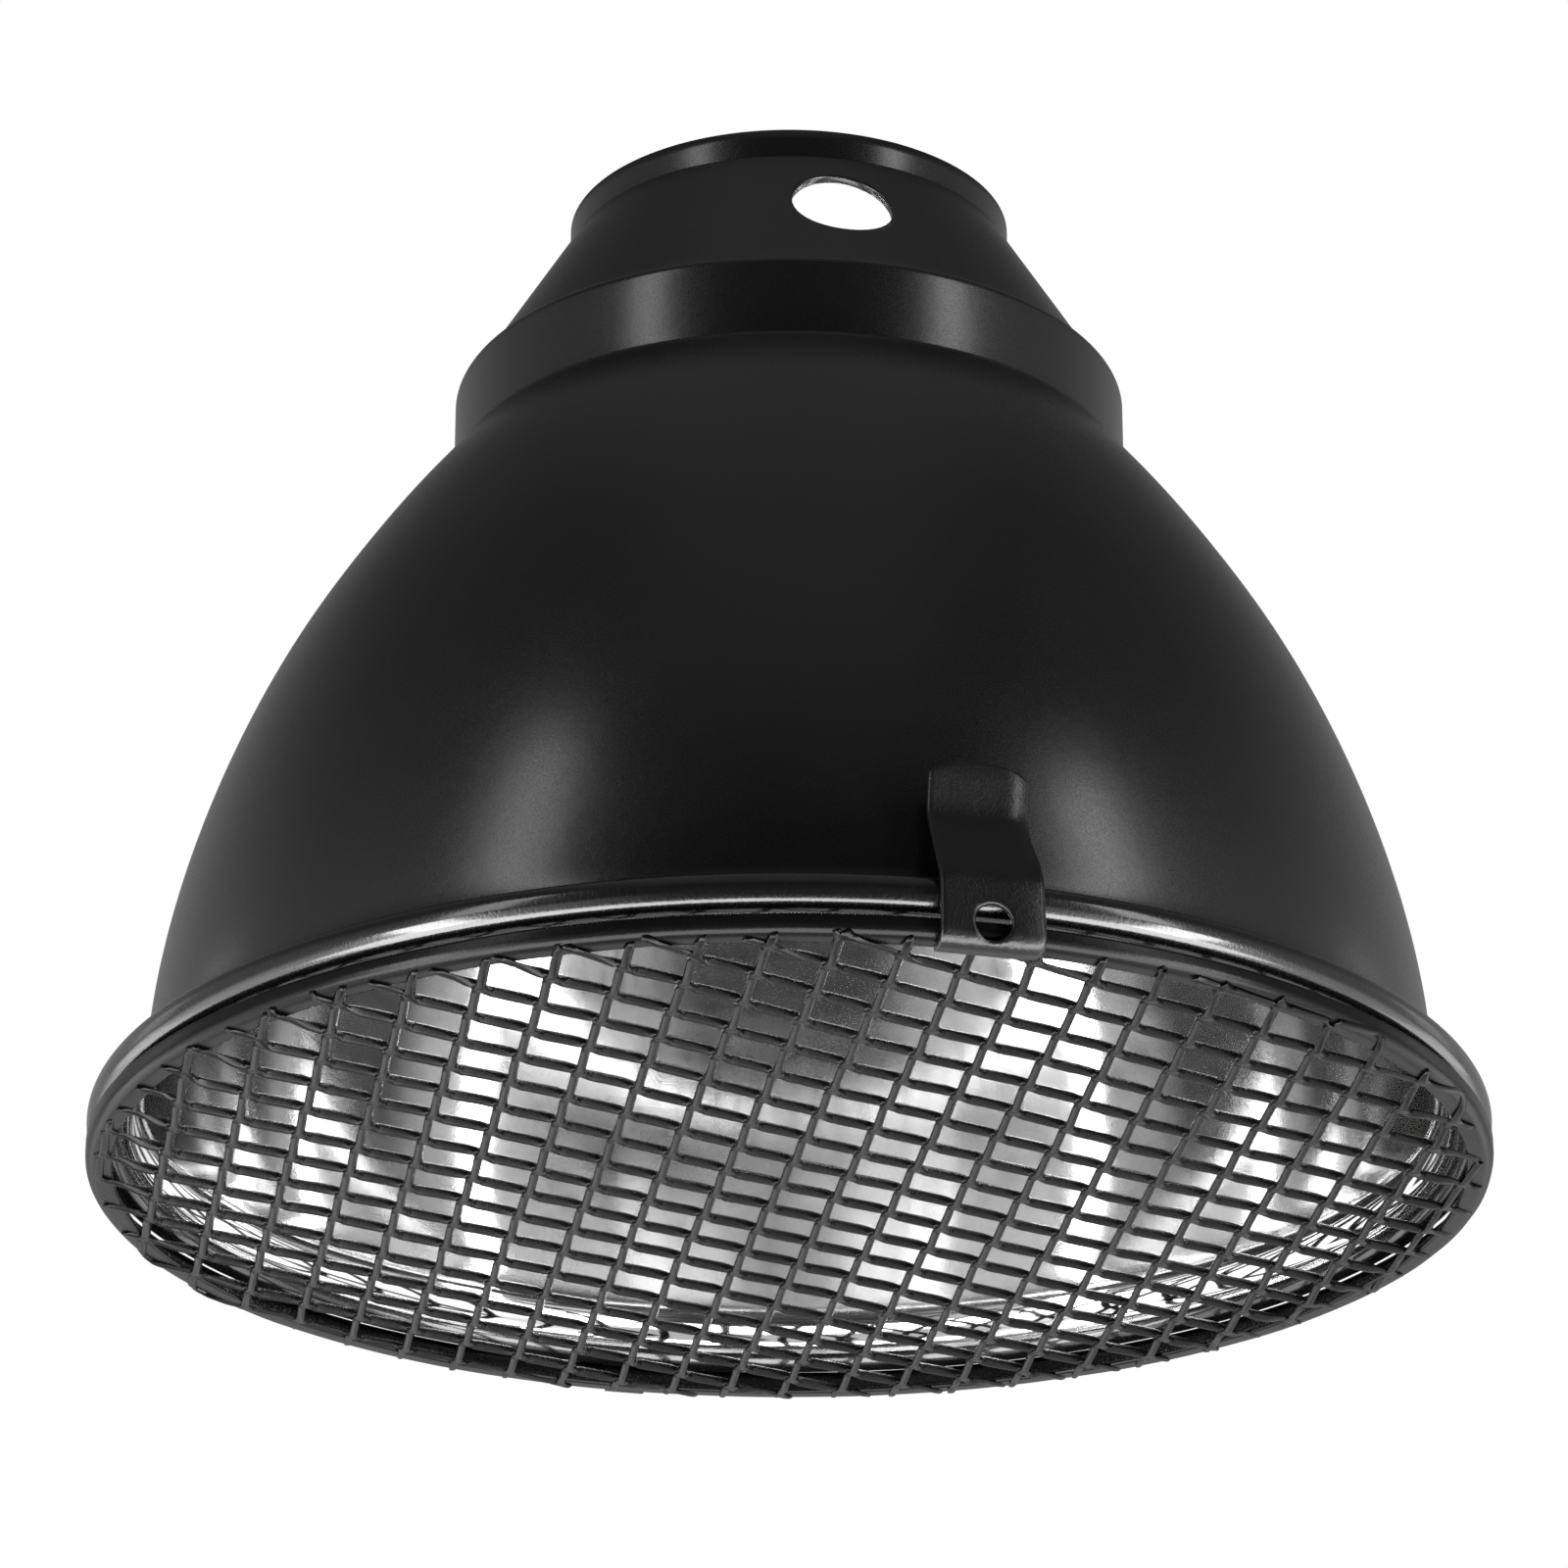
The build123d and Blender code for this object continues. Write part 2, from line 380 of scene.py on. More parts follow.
def build_shade():
    """The spun shell: one closed sheet turned round the axis, with its vent holes worked into the mesh."""
    line = shade_line()
    normals = normals_of(line)
    half = SHEET / 2
    count = len(line)
    # The sheet's section: down the painted side, round the rolled end, back up the bare side.
    section = [(i, half) for i in range(count)] + [(count - 1, END_OFFSET), (count - 1, -END_OFFSET)]
    section += [(i, -half) for i in reversed(range(count))] + [(0, -END_OFFSET), (0, END_OFFSET)]

    def spot(i, offset):
        """A point of the section, with the middle of the two cut ends standing out a little."""
        point = line[i] + normals[i] * offset
        if i in (0, count - 1) and abs(offset) < half:
            along = (line[1] - line[0]) if i == 0 else (line[-2] - line[-1])
            point -= along.normalized() * (half * 0.35)
        return point

    vertices = []
    for step in range(TURN_STEPS):
        angle = 2 * math.pi * step / TURN_STEPS
        for i, offset in section:
            point = spot(i, offset)
            vertices.append(around(point.x, angle, point.y))
    rows = len(section)

    def vertex(step, row):
        return (step % TURN_STEPS) * rows + row % rows

    # Rows of the straight cone, where each vent hole takes a block of cells.
    cone = [i for i in range(count) if abs(line[i].y - VENT_HEIGHT) < VENT_RADIUS + 1.2
            and abs(normals[i].x - normals[i - 1].x) < 1e-3]
    top, bottom = cone[0], cone[-1]
    taken = set()
    faces, indices = [], []
    curl_from = count - 1 - CURL_STEPS
    bare_until = count - 1 - round(CURL_STEPS * (BEAD_TURN - BARE_TURN) / BEAD_TURN)

    def inner_row(i):
        """The row of line point i on the bare side."""
        return 2 * count + 1 - i

    def finish_of(row):
        if row < count + 2:
            return PAINTED if row < curl_from else BEAD
        if row < 2 * count + 2:
            return BARE if 2 * count + 1 - row < bare_until else BEAD
        return PAINTED

    for vent in range(VENT_COUNT):
        middle = azimuth_angle(VENT_AZIMUTH + vent * 360 / VENT_COUNT)
        centre_line = line[top].lerp(line[bottom], (line[top].y - VENT_HEIGHT) / (line[top].y - line[bottom].y))
        normal = normals[top]
        axis = Vector((normal.x * math.cos(middle), normal.x * math.sin(middle), normal.y))
        centre = around(centre_line.x, middle, centre_line.y)
        down = (line[bottom] - line[top]).normalized()
        reach = (VENT_RADIUS + 1.6) / centre_line.x
        first = math.floor((middle - reach) / (2 * math.pi) * TURN_STEPS)
        last = math.ceil((middle + reach) / (2 * math.pi) * TURN_STEPS)

        def surface(along, across, offset):
            """A cone point from its distance down and round from the hole's centre."""
            point = centre_line + down * along + normal * offset
            return around(point.x, middle + across / centre_line.x, point.y)

        def on_hole(direction, offset, radius):
            """The place along a direction where the surface is radius from the hole's axis."""
            distance = radius
            for _ in range(6):
                point = surface(distance * math.cos(direction), distance * math.sin(direction), offset)
                out = point - centre
                distance *= radius / (out - axis * out.dot(axis)).length
            return distance

        def polar(step, i):
            """A border point's direction and distance from the hole's centre, along the cone."""
            along = (line[i] - centre_line).dot(down)
            across = (2 * math.pi * step / TURN_STEPS - middle) * centre_line.x
            return math.atan2(across, along), math.hypot(along, across)

        def add_point(direction, distance, offset):
            vertices.append(surface(distance * math.cos(direction), distance * math.sin(direction), offset))
            return len(vertices) - 1

        border = [(step, top) for step in range(first, last)]
        border += [(last, i) for i in range(top, bottom)]
        border += [(step, bottom) for step in range(last, first, -1)]
        border += [(first, i) for i in range(bottom, top, -1)]
        rings = []
        for offset, row_of in ((half, lambda i: i), (-half, inner_row)):
            side = [[vertex(step, row_of(i)) for step, i in border]]
            for share in (0.3, 0.6, 0.85, 1.0):
                ring = []
                for step, i in border:
                    direction, outer = polar(step, i)
                    inner = on_hole(direction, offset, VENT_RADIUS + VENT_SOFTENING)
                    ring.append(add_point(direction, outer + (inner - outer) * share, offset))
                side.append(ring)
            for depth, wider in ((0.86, 0.04), (0.5, 0.0)):
                level = offset * depth
                ring = []
                for step, i in border:
                    direction = polar(step, i)[0]
                    ring.append(add_point(direction, on_hole(direction, level, VENT_RADIUS + wider), level))
                side.append(ring)
            rings.append(side)
        chain = rings[0] + rings[1][::-1]
        painted = len(rings[0]) + 1
        for level, (ring, after) in enumerate(zip(chain, chain[1:])):
            size = len(ring)
            for k in range(size):
                faces.append((ring[k], ring[(k + 1) % size], after[(k + 1) % size], after[k]))
                indices.append(PAINTED if level < painted else BARE)
        for step in range(first, last):
            for i in range(top, bottom):
                taken.add((step % TURN_STEPS, i))
                taken.add((step % TURN_STEPS, inner_row(i + 1)))
    for step in range(TURN_STEPS):
        for row in range(rows):
            if (step, row) in taken:
                continue
            faces.append((vertex(step, row), vertex(step, row + 1), vertex(step + 1, row + 1), vertex(step + 1, row)))
            indices.append(finish_of(row))
    shell = mesh_piece("shade_shell_spun", vertices, faces, [dome_paint, bare_metal, bead_paint], indices)
    fix_normals(shell)
    return shell


def fix_normals(item):
    """Face every polygon outwards."""
    work = bmesh.new()
    work.from_mesh(item.data)
    bmesh.ops.recalc_face_normals(work, faces=work.faces)
    work.to_mesh(item.data)
    work.free()


shade = build_shade()
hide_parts("shade_shell")
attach(shade, "shade")

# Guard mesh ------------------------------------------------------------

STRAND_WIDTH = 0.98
STRAND_SHEET = 1.12
STRAND_TILT = 28
STRAND_CORNER = 0.2
BOND = 0.9
MESH_LEVEL = 0.3
CORNER_RADIUS = 74.3
CORNER_HEIGHT = 1.8
CORNER_DEPTH = 1.2
END_SCALE = 0.5
SLOT_STATIONS = (0.0, 0.1, 0.3, 0.5, 0.7, 0.9, 1.0)
HALF_SLOTS = 14
WELD_DISTANCE = 0.02
SOFTENING = 0.35
PRESSED_FROM = 69.5
PRESSED_OVER = 2.6


def strand_end(angle, strip):
    """How far out a strand runs before it is cut: the ends at the front turn up round the ring's corner."""
    for azimuth, width in ((CLIP_AZIMUTH, CLIP_WIDTH + 1.5), (HINGE_AZIMUTH, HINGE_WIDTH)):
        middle = azimuth_angle(azimuth)
        apart = math.atan2(math.sin(angle - middle), math.cos(angle - middle))
        if abs(apart) * RING_RADIUS < width / 2:
            return CORNER_RADIUS + 0.2
    turned_up = clamp((0.93 - abs(math.cos(angle))) / 0.12) * (1.0 if math.sin(angle) < 0 else 0.1)
    ragged = noise.noise(Vector((strip * 1.7, 0.3, angle)))
    return CORNER_RADIUS + 0.1 + turned_up * (0.75 + 1.1 * ragged)


def build_guard_mesh():
    """Expanded metal: zigzag strips side by side, joined to their neighbours at every bond."""
    long_angle = math.radians((FLAT_ANGLE + STEEP_ANGLE) / 2)
    half_skew = math.radians((STEEP_ANGLE - FLAT_ANGLE) / 2)
    long_way = 2 * MESH_PITCH * math.cos(half_skew)
    row = MESH_PITCH * math.sin(half_skew)
    along = Vector((math.cos(long_angle), math.sin(long_angle), 0))
    across = Vector((-along.y, along.x, 0))
    tilt = math.radians(STRAND_TILT)
    swing = (row - STRAND_WIDTH * math.cos(tilt)) / 2
    wide = across * math.cos(tilt) + Vector((0, 0, math.sin(tilt)))
    thick = across * -math.sin(tilt) + Vector((0, 0, math.cos(tilt)))
    origin = Vector((*MESH_CENTRE, MESH_LEVEL)) + along * (long_way / 2)
    w, t, c = STRAND_WIDTH / 2, STRAND_SHEET / 2, STRAND_CORNER
    b = c * 0.3
    outline = [(w, t - c), (w - b, t - b), (w - c, t), (c - w, t), (b - w, t - b), (-w, t - c),
               (-w, c - t), (b - w, b - t), (c - w, -t), (w - c, -t), (w - b, b - t), (w, c - t)]
    vertices, faces = [], []
    reach = math.ceil((CORNER_RADIUS + 3) / row) + 1
    for strip in range(-reach - 1, reach + 1):
        middle = (strip + 0.5) * row
        stations = []
        # Row `strip` is on the strip's low side and row `strip + 1` on its high side.
        for half in range(-HALF_SLOTS, HALF_SLOTS + 1):
            low_first = (half + strip) % 2 == 0
            begin = half * long_way / 2
            sign = -1 if low_first else 1
            run = long_way / 2 - BOND
            for bond_at in (-BOND / 2, 0.0):
                stations.append((begin + bond_at, sign * swing, sign))
            for share in SLOT_STATIONS:
                moved = 0.92 * share + 0.08 * eased(share)
                stations.append((begin + BOND / 2 + run * share, sign * swing * (1 - 2 * moved),
                                 sign if share == 0 else 0))
        unique = []
        for station in stations:
            if unique and station[0] - unique[-1][0] < 1e-4:
                if station[2] and not unique[-1][2]:
                    unique[-1] = station
                continue
            unique.append(station)
        kept = []
        for place, offset, bond in unique:
            point = along * place + across * (middle + offset) + origin
            flat = Vector((point.x, point.y))
            kept.append((place, offset, bond, point, flat.length, math.atan2(flat.y, flat.x)))
        inside = [k for k, item in enumerate(kept) if item[4] < strand_end(item[5], strip)]
        if len(inside) < 4:
            continue
        first, last = inside[0], inside[-1]

        def cut(inner, outer):
            """The station where the strip meets its end radius, between two stations."""
            a, b = kept[inner], kept[outer]
            limit = strand_end(a[5], strip)
            share = (limit - a[4]) / (b[4] - a[4])
            return tuple(a[n] + (b[n] - a[n]) * share for n in (0, 1)) + (a[2] if a[2] == b[2] else 0,)

        line = [cut(first, first - 1)] + [item[:3] for item in kept[first:last + 1]] + [cut(last, last + 1)]
        base = len(vertices)
        for k, (place, offset, bond) in enumerate(line):
            centre = along * place + across * (middle + offset) + origin
            centre += Vector((0, 0, -w * math.sin(tilt) * offset / swing))
            drawn = END_SCALE if k in (0, len(line) - 1) else 1
            for u, v in outline:
                u, v = u * drawn, v * drawn
                # A bonded side has no rounded edge: the sheet runs on into the next strip.
                if bond and u * bond > w - b - 1e-6:
                    u = math.copysign(w, u)
                    v = math.copysign(t, v)
                vertices.append(centre + wide * u + thick * v)
        size = len(outline)
        for k in range(len(line) - 1):
            both = line[k][2] if line[k][2] == line[k + 1][2] else 0
            for n in range(size):
                after = (n + 1) % size
                side_u = outline[n][0] if abs(outline[n][0] - outline[after][0]) < 1e-6 else 0
                if both and side_u * both > 0 and abs(abs(side_u) - w) < 1e-6:
                    continue
                a, b = base + k * size, base + (k + 1) * size
                faces.append((a + n, a + after, b + after, b + n))
        faces.append(tuple(base + n for n in reversed(range(size))))
        faces.append(tuple(base + (len(line) - 1) * size + n for n in range(size)))
    work = bmesh.new()
    points = [work.verts.new(v) for v in vertices]
    for face in faces:
        try:
            work.faces.new([points[n] for n in face])
        except ValueError:
            pass
    bmesh.ops.remove_doubles(work, verts=work.verts, dist=WELD_DISTANCE)
    bmesh.ops.recalc_face_normals(work, faces=work.faces)
    for _ in range(2):
        bmesh.ops.smooth_vert(work, verts=work.verts, factor=SOFTENING,
                              use_axis_x=True, use_axis_y=True, use_axis_z=True)
    for vertex in work.verts:
        vertex.co = settled(vertex.co)
    mesh = bpy.data.meshes.new("guard_mesh_expanded")
    work.to_mesh(mesh)
    work.free()
    mesh.transform(Matrix.Scale(MM, 4))
    mesh.materials.append(guard_paint)
    mesh.polygons.foreach_set("use_smooth", [True] * len(mesh.polygons))
    return new_object("guard_mesh_expanded", mesh)


def settled(point):
    """A mesh point with the sheet's unevenness, pressed under the lip and, at the front, turned up round the ring."""
    wobble = noise.noise_vector(point / 9) * 0.10
    wave = noise.noise(Vector((point.x, point.y, 5)) / 24) * 0.28
    point = point + Vector((wobble.x, wobble.y, wobble.z * 0.6 + wave))
    radius = math.hypot(point.x, point.y)
    pressed = eased(clamp((radius - PRESSED_FROM) / PRESSED_OVER))
    squeeze = 1 - 0.62 * pressed
    front = clamp((-point.y / radius - 0.25) / 0.2)
    height = MESH_LEVEL + (point.z - MESH_LEVEL) * squeeze + (0.24 - 0.16 * front - wave) * pressed
    past = max(0, radius - CORNER_RADIUS)
    if past and not front:
        flush = CORNER_RADIUS + min(past, 0.35) + 0.15 * max(0, past - 0.35)
        point = Vector((point.x * flush / radius, point.y * flush / radius, 0))
    elif past:
        taper = 1 - 0.8 * min(past / 2.2, 1)
        depth = CORNER_DEPTH + (CORNER_HEIGHT - height - CORNER_DEPTH) * taper
        turn = min(past / 1.5, 1.5)
        new_radius = CORNER_RADIUS + depth * math.sin(turn)
        height = CORNER_HEIGHT - depth * math.cos(turn)
        point = Vector((point.x * new_radius / radius, point.y * new_radius / radius, 0))
    return Vector((point.x, point.y, height))


guard_mesh = build_guard_mesh()
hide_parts("guard_mesh")
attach(guard_mesh, "guard")

# Guard ring ------------------------------------------------------------


def turned_sheet(name, line, sheet, material, wave, rise):
    """A thin sheet with rounded edges, turned round the axis from the middle line of its section."""
    normals = normals_of(line)
    half = sheet / 2
    first_way = (line[1] - line[0]).normalized()
    last_way = (line[-2] - line[-1]).normalized()

    def side(sign):
        points = [point + normal * (sign * half) for point, normal in zip(line, normals)]
        points[0] += first_way * half * 0.6
        points[-1] += last_way * half * 0.6
        return points

    def edge(point, normal, way):
        return [point + normal * half * across + way * half * inwards
                for across, inwards in ((0.7, 0.2), (0.25, 0), (-0.25, 0), (-0.7, 0.2))]

    section = side(1) + edge(line[-1], normals[-1], last_way)
    section += side(-1)[::-1] + edge(line[0], -normals[0], first_way)
    rows = len(section)
    vertices, faces = [], []
    for step in range(TURN_STEPS):
        angle = 2 * math.pi * step / TURN_STEPS
        for point in section:
            spot = around(point.x, angle, point.y)
            shift = wave * noise.noise(spot / 7)
            lift = wave * noise.noise(spot / 9 + Vector((40, 0, 0))) + rise(angle, point.y)
            vertices.append(around(point.x + shift, angle, point.y + lift))
    for step in range(TURN_STEPS):
        after = (step + 1) % TURN_STEPS
        for n in range(rows):
            m = (n + 1) % rows
            faces.append((step * rows + n, step * rows + m, after * rows + m, after * rows + n))
    item = mesh_piece(name, vertices, faces, [material])
    fix_normals(item)
    return item


def ring_rise(angle, height):
    """The ring's wall stands higher from its sides round to the hinge, where it closes up to the bead."""
    share = clamp((0.75 + math.sin(angle)) / 1.1)
    return RING_EXTRA * eased(share) * max(0, height - 1.8) / 0.9


lip_height = MESH_THICKNESS + RING_SHEET / 2
wall_radius = RING_RADIUS - RING_SHEET / 2
ring_corners = [(LIP_RADIUS, lip_height), (wall_radius, lip_height), (wall_radius, RING_TOP)]
ring_line = split_long(filleted(ring_corners, [RING_FOLD], 0.2), 0.5)
ring = turned_sheet("guard_ring_pressed", ring_line, RING_SHEET, ring_paint, RING_WAVE, ring_rise)
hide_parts("guard_ring")
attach(ring, "guard")

# Latch clip ------------------------------------------------------------

CLIP_SHEET = 0.8
CLIP_GAP = 0.4
CLIP_FOOT_RADIUS = 73.6
CLIP_FOOT_HEIGHT = 0.1
CLIP_LEAN_START = 6.8
CLIP_WAIST = (71.7, 15.2)
CLIP_TOP = (72.8, 20.6)
CLIP_HOLE_RADIUS = 1.85
CLIP_HOLE_HEIGHT = 2.1
CLIP_BENDS = [1.2, 4.0, 3.0]
ARCH_RADIUS = 10.5
CLIP_ROWS = 56
CLIP_COLUMNS = 20
CLIP_SHOULDER = 6.0
CLIP_EDGE = 0.16


def build_clip():
    """The spring strip: a bent sheet with rounded edges, an arched top, a dished corner and a hole near its foot."""
    strip_radius = RING_RADIUS + CLIP_GAP + CLIP_SHEET / 2
    corners = [(CLIP_FOOT_RADIUS, CLIP_FOOT_HEIGHT), (strip_radius, CLIP_FOOT_HEIGHT),
               (strip_radius, CLIP_LEAN_START), CLIP_WAIST, CLIP_TOP]
    path = split_long(filleted(corners, CLIP_BENDS, 0.1), 0.5)
    travelled = [0.0]
    for before, after in zip(path, path[1:]):
        travelled.append(travelled[-1] + (after - before).length)
    total = travelled[-1]
    half_width = CLIP_WIDTH / 2
    half = CLIP_SHEET / 2
    hole_at = next(s for s, point in zip(travelled, path)
                   if point.x > strip_radius - 0.1 and point.y >= CLIP_HOLE_HEIGHT - 0.26)
    shoulder = total - CLIP_SHOULDER

    def spot(s, t, offset):
        """A point of the sheet from its distance up the strip, its distance across and its side."""
        n = max(1, next((k for k, reached in enumerate(travelled) if reached >= s), len(travelled) - 1))
        share = (s - travelled[n - 1]) / (travelled[n] - travelled[n - 1])
        point = path[n - 1].lerp(path[n], share)
        way = (path[n] - path[n - 1]).normalized()
        out = Vector((way.y, -way.x))
        # The right-hand top corner and the lower sides are pressed back a little.
        corner = max(0, t / half_width - 0.55) / 0.45
        high = clamp((s - (total - 12.0)) / 4.0)
        low = clamp((total - 13.0 - s) / 4.0)
        dish = corner**2 * (0.75 * high + 0.2 * low)
        top = max(0, (s - (total - 1.8)) / 1.8)
        dish += 0.35 * top**2
        place = point + out * (offset - dish)
        place.x += 0.05 * noise.noise(Vector((s / 4, t / 4, 2)))
        spread = t + max(0, t) * 0.04 * max(0, 1 - abs(s - 3.5) / 4.0)
        return Vector((place.x, spread, place.y))

    rows_s = [total * k / CLIP_ROWS for k in range(CLIP_ROWS + 1)]
    columns = [half_width * (2 * k / CLIP_COLUMNS - 1) for k in range(CLIP_COLUMNS + 1)]

    def arched(s, t):
        """The same row, drawn down near the top so that it follows the arch."""
        drop = ARCH_RADIUS - math.sqrt(ARCH_RADIUS**2 - t**2)
        if s <= shoulder:
            return s
        return s - drop * (s - shoulder) / (total - shoulder)

    vertices, faces = [], []
    grids = {}

    def inset(k, last):
        return CLIP_EDGE if k == 0 else -CLIP_EDGE if k == last else 0

    for side, offset in ((0, half), (1, -half)):
        for i, s in enumerate(rows_s):
            for j, t in enumerate(columns):
                grids[side, i, j] = len(vertices)
                vertices.append(spot(arched(s, t) + inset(i, CLIP_ROWS), t + inset(j, CLIP_COLUMNS), offset))
    # The block of cells that the hole takes.
    window = CLIP_HOLE_RADIUS + 0.9
    in_s = [i for i, s in enumerate(rows_s) if abs(s - hole_at) < window]
    in_t = [j for j, t in enumerate(columns) if abs(t) < window]
    low_i, high_i, low_j, high_j = in_s[0], in_s[-1], in_t[0], in_t[-1]
    for side in (0, 1):
        for i in range(CLIP_ROWS):
            for j in range(CLIP_COLUMNS):
                if low_i <= i < high_i and low_j <= j < high_j:
                    continue
                cell = (i, j), (i, j + 1), (i + 1, j + 1), (i + 1, j)
                faces.append(tuple(grids[side, a, b] for a, b in cell))

    def chain(rings):
        """Faces from each ring of vertices to the next."""
        for ring, after in zip(rings, rings[1:]):
            for k in range(len(ring)):
                m = (k + 1) % len(ring)
                faces.append((ring[k], ring[m], after[m], after[k]))

    border = [(low_i, j) for j in range(low_j, high_j)] + [(i, high_j) for i in range(low_i, high_i)]
    border += [(high_i, j) for j in range(high_j, low_j, -1)] + [(i, low_j) for i in range(high_i, low_i, -1)]
    hole = []
    levels = [(half, share, 0.12) for share in (0.35, 0.7, 1.0)] + [(half * 0.6, 1.0, 0.0), (-half * 0.6, 1.0, 0.0)]
    levels += [(-half, share, 0.12) for share in (1.0, 0.7, 0.35)]
    for offset, share, easing in levels:
        ring = []
        for i, j in border:
            s, t = rows_s[i] - hole_at, columns[j]
            outer = math.hypot(s, t)
            distance = outer + (CLIP_HOLE_RADIUS + easing - outer) * share
            ring.append(len(vertices))
            vertices.append(spot(hole_at + s / outer * distance, t / outer * distance, offset))
        hole.append(ring)
    chain([[grids[0, i, j] for i, j in border]] + hole + [[grids[1, i, j] for i, j in border]])
    rim = [(0, j) for j in range(CLIP_COLUMNS)] + [(i, CLIP_COLUMNS) for i in range(CLIP_ROWS)]
    rim += [(CLIP_ROWS, j) for j in range(CLIP_COLUMNS, 0, -1)] + [(i, 0) for i in range(CLIP_ROWS, 0, -1)]
    edge = []
    for offset in (half * 0.6, -half * 0.6):
        ring = []
        for i, j in rim:
            ring.append(len(vertices))
            vertices.append(spot(arched(rows_s[i], columns[j]), columns[j], offset))
        edge.append(ring)
    chain([[grids[0, i, j] for i, j in rim]] + edge + [[grids[1, i, j] for i, j in rim]])
    turn = Matrix.Rotation(azimuth_angle(CLIP_AZIMUTH), 3, "Z")
    clip = mesh_piece("latch_clip_bent", [turn @ vertex for vertex in vertices], faces, [clip_paint])
    fix_normals(clip)
    return clip


clip = build_clip()
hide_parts("latch_clip")
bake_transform(clip)

# Hinge -----------------------------------------------------------------

def plated_steel(name):
    """Dull zinc-plated pin wire with faint drawing marks and a cloudy finish."""
    nodes = Nodes(name)
    place = nodes.place()
    cloud = nodes.noise(place, 1 / (1.8 * MM), 3.0, 0.6)
    marks = nodes.noise(place, 1 / (0.25 * MM), 1.0)
    nodes.set(
        Base_Color=nodes.colour(cloud, [(0.3, (0.42, 0.42, 0.43)), (0.7, (0.60, 0.60, 0.61))]),
        Metallic=1.0,
        Roughness=nodes.range(cloud, 0.3, 0.7, 0.26, 0.40),
        Normal=nodes.bump(marks, 0.3, 0.01 * MM),
    )
    return nodes.material


pin_steel = plated_steel("hinge_pin_steel")
for cad_name, finish in (("hinge_bracket", guard_paint), ("hinge_leaf", guard_paint), ("hinge_pin", pin_steel)):
    cad_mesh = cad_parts[cad_name].data
    cad_mesh.materials.clear()
    cad_mesh.materials.append(finish)

# Camera, light and surroundings -----------------------------------------

CAMERA_PLACE = Vector((-9.68, -621.86, -216.39)) * MM
CAMERA_AIM = Vector((0.01349, 0.92017, 0.39152))
camera_data = bpy.data.cameras.new("camera")
camera_data.sensor_width = 36
camera_data.lens = 140.08
camera = new_object("camera", camera_data)
camera.location = CAMERA_PLACE
camera.rotation_euler = CAMERA_AIM.to_track_quat("-Z", "Y").to_euler()
bpy.context.scene.camera = camera


def softbox(name, place, aim, size, radiance):
    """A soft rectangular lamp at place, facing aim, in metres; radiance is what a perfect mirror would show."""
    data = bpy.data.lights.new(name, "AREA")
    data.shape = "RECTANGLE"
    data.size, data.size_y = size
    data.energy = math.pi * size[0] * size[1] * radiance
    lamp = new_object(name, data)
    lamp.location = place
    lamp.rotation_euler = (Vector(aim) - Vector(place)).to_track_quat("-Z", "Y").to_euler()
    lamp.visible_camera = False


# Upright strips beside the shade: azimuth, distance, width, lowest and highest point, radiance.
STRIPS = {
    "strip_left": (-49, 1.2, 0.24, 0.1, 1.15, 2.7),
    "strip_right": (55, 1.2, 0.22, 0.1, 0.95, 3.7),
    "strip_low_left": (-58, 1.2, 0.24, -0.80, 0.0, 14.0),
    "strip_low_right": (62, 1.2, 0.24, -0.80, 0.0, 14.0),
    "strip_back_left": (-118, 1.4, 0.3, 0.0, 0.6, 0.6),
    "strip_back_right": (118, 1.4, 0.3, 0.0, 0.6, 0.6),
    "strip_back_low_left": (-125, 1.4, 0.4, -0.9, -0.1, 1.3),
    "strip_back_low_right": (125, 1.4, 0.4, -0.9, -0.1, 1.3),
}
for name, (azimuth, distance, width, bottom, top, radiance) in STRIPS.items():
    middle = around(distance, azimuth_angle(azimuth), (bottom + top) / 2)
    softbox(name, middle, (0, 0, middle.z), (width, top - bottom), radiance)
softbox("table", (0.0, -0.26, -0.52), (0, -0.26, 0.0), (1.8, 0.42), 7.5)

FLOOR_SIDE = 6.0
FLOOR_LEVEL = -0.6
floor_mesh = bpy.data.meshes.new("floor")
floor_corners = [(x * FLOOR_SIDE, y * FLOOR_SIDE, FLOOR_LEVEL) for x, y in ((-1, -1), (1, -1), (1, 1), (-1, 1))]
floor_mesh.from_pydata(floor_corners, [], [(0, 1, 2, 3)])
floor = new_object("floor", floor_mesh)
floor_paint = Nodes("floor_paint")
floor_paint.set(Base_Color=(0.12, 0.12, 0.12, 1), Roughness=0.9)
floor_paint.set(Emission_Color=(1, 1, 1, 1), Emission_Strength=0.8)
floor_mesh.materials.append(floor_paint.material)
floor.visible_glossy = False
floor.visible_diffuse = False


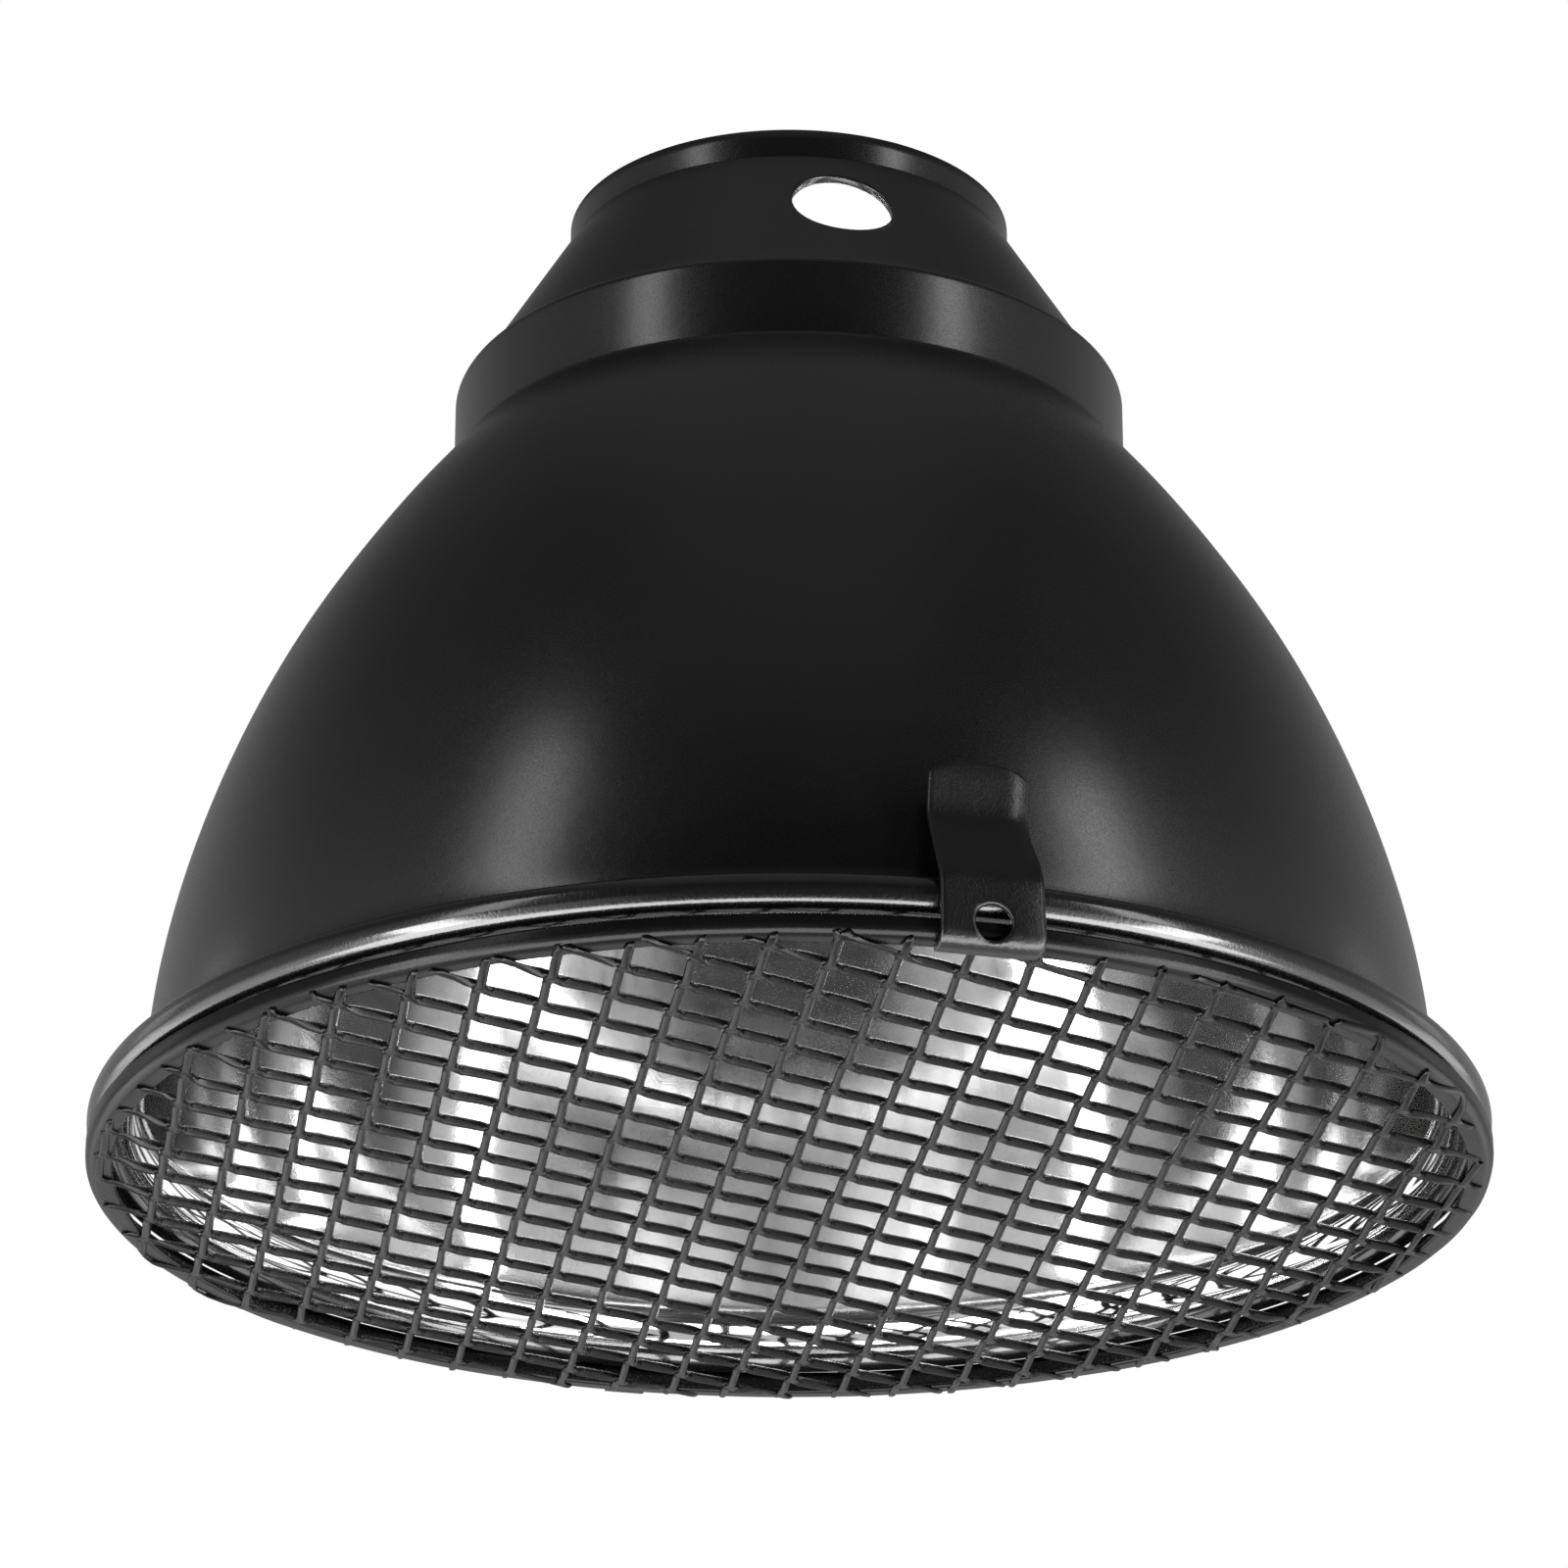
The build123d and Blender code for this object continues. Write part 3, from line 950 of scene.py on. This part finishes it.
def studio_world():
    """White where the camera sees it; as a light, dark round the camera and greyer to the sides, top and back."""
    world = bpy.data.worlds.new("studio")
    bpy.context.scene.world = world
    world.use_nodes = True
    tree = world.node_tree
    tree.nodes.clear()

    def add(kind, inputs=None, **settings):
        return add_node(tree, kind, inputs, **settings)

    def span(value, low, high, to_low, to_high):
        inputs = {"Value": value, "From Min": low, "From Max": high, "To Min": to_low, "To Max": to_high}
        return add("ShaderNodeMapRange", inputs, interpolation_type="SMOOTHSTEP").outputs["Result"]

    def combined(operation, first, second=0.0):
        return add("ShaderNodeMath", {0: first, 1: second}, operation=operation).outputs[0]

    direction = add("ShaderNodeTexCoord").outputs["Generated"]
    x, y, z = add("ShaderNodeSeparateXYZ", {"Vector": direction}).outputs
    aside = combined("ABSOLUTE", x)
    sides = combined("ADD", span(y, -0.85, -0.2, 0.03, 0.32), span(y, 0.0, 0.8, 0.0, 0.08))
    sides = combined("MULTIPLY", sides, span(z, 0.3, 0.75, 1.0, 0.25))
    top = combined("MULTIPLY", span(z, 0.45, 0.95, 0.0, 0.15), span(aside, 0.15, 0.6, 1.0, 0.2))
    back_floor = combined("MULTIPLY", span(z, -0.05, -0.4, 0.0, 0.85), span(y, -0.7, 0.3, 0.0, 1.0))
    centre = combined("MAXIMUM", span(aside, 0.1, 0.45, 0.0, 1.0), span(z, -0.40, -0.28, 0.2, 0.85))
    centre = combined("MULTIPLY", centre, span(x, 0.45, 0.8, 1.0, 0.2))
    back_floor = combined("MULTIPLY", back_floor, centre)
    low_sides = combined("MULTIPLY", span(z, -0.25, -0.02, 0.6, 0.0), span(aside, 0.28, 0.6, 0.0, 1.0))
    level = combined("ADD", combined("MAXIMUM", sides, top), back_floor)
    level = combined("ADD", level, low_sides)
    seen = add("ShaderNodeLightPath").outputs["Is Camera Ray"]
    strength = add("ShaderNodeMix", {"Factor": seen, "A": level, "B": 1.0}).outputs["Result"]
    background = add("ShaderNodeBackground", {"Color": (1, 1, 1, 1), "Strength": strength})
    output = add("ShaderNodeOutputWorld")
    tree.links.new(background.outputs[0], output.inputs["Surface"])


studio_world()
bpy.context.scene.view_settings.view_transform = "Standard"
